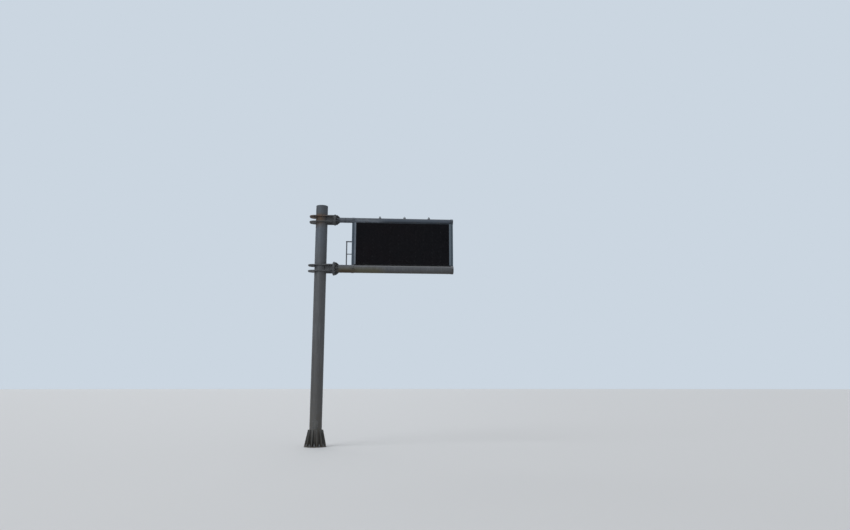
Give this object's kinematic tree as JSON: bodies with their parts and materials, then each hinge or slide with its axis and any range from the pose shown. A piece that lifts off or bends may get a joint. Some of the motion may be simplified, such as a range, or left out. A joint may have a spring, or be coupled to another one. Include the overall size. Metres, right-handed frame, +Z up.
{
  "type": "cantilever sign gantry",
  "caption": "Steel pole on a bolted base flange with two pipe arms that hold a blank electronic display cabinet, with a railed service walkway behind it.",
  "frame": {"origin": "centre of the base flange's underside, on the pole's axis", "axes": "+Z up along the pole, +X along the arms towards their free ends, -Y towards the sign's face"},
  "size_m": [5.428, 1.322, 8.837],
  "materials": {
    "pipe_zinc": "hot-dip galvanised, dulled grey, with rain streaks and mud tint low down",
    "base_zinc": "galvanised, weathered and dusty",
    "joint_steel": "galvanised plate with weld seams, darker than the pipes",
    "upright_paint": "satin slate paint, darker than the bezel beside it",
    "frame_paint": "satin blue-grey paint",
    "cabinet_sheet": "satin grey powder coat",
    "display_black": "matt black moulded display modules",
    "walkway_zinc": "galvanised, matt"
  },
  "bodies": {
    "root": {"pole_shaft": "pipe_zinc", "pole_cap": "pipe_zinc", "upper_arm": "pipe_zinc", "lower_arm": "pipe_zinc", "arm_caps": "pipe_zinc", "upper_clamps": "pipe_zinc", "lower_clamps": "pipe_zinc", "base_flange": "base_zinc", "base_gussets": "base_zinc", "hand_hole_cover": "base_zinc", "upper_collar_top": "joint_steel", "upper_collar_bottom": "joint_steel", "lower_collar_top": "joint_steel", "lower_collar_bottom": "joint_steel", "upper_joint_webs": "joint_steel", "lower_joint_webs": "joint_steel", "upper_pole_flange": "joint_steel", "lower_pole_flange": "joint_steel", "upper_arm_flange": "joint_steel", "lower_arm_flange": "joint_steel", "upper_arm_gussets": "joint_steel", "lower_arm_gussets": "joint_steel", "upper_saddles": "joint_steel", "lower_saddles": "joint_steel", "lifting_lugs": "joint_steel", "left_upright": "upright_paint", "right_upright": "upright_paint", "cabinet_bezel": "frame_paint", "cabinet_shell": "cabinet_sheet", "rear_door_1": "cabinet_sheet", "rear_door_2": "cabinet_sheet", "rear_door_3": "cabinet_sheet", "rear_door_4": "cabinet_sheet", "display_face": "display_black", "walkway_brackets": "walkway_zinc", "walkway_stringers": "walkway_zinc", "grating_1": "walkway_zinc", "grating_2": "walkway_zinc", "grating_3": "walkway_zinc", "grating_4": "walkway_zinc", "toe_board": "walkway_zinc", "rail_posts": "walkway_zinc", "handrail": "walkway_zinc", "mid_rail": "walkway_zinc", "end_rail": "walkway_zinc"}
  },
  "joints": []
}
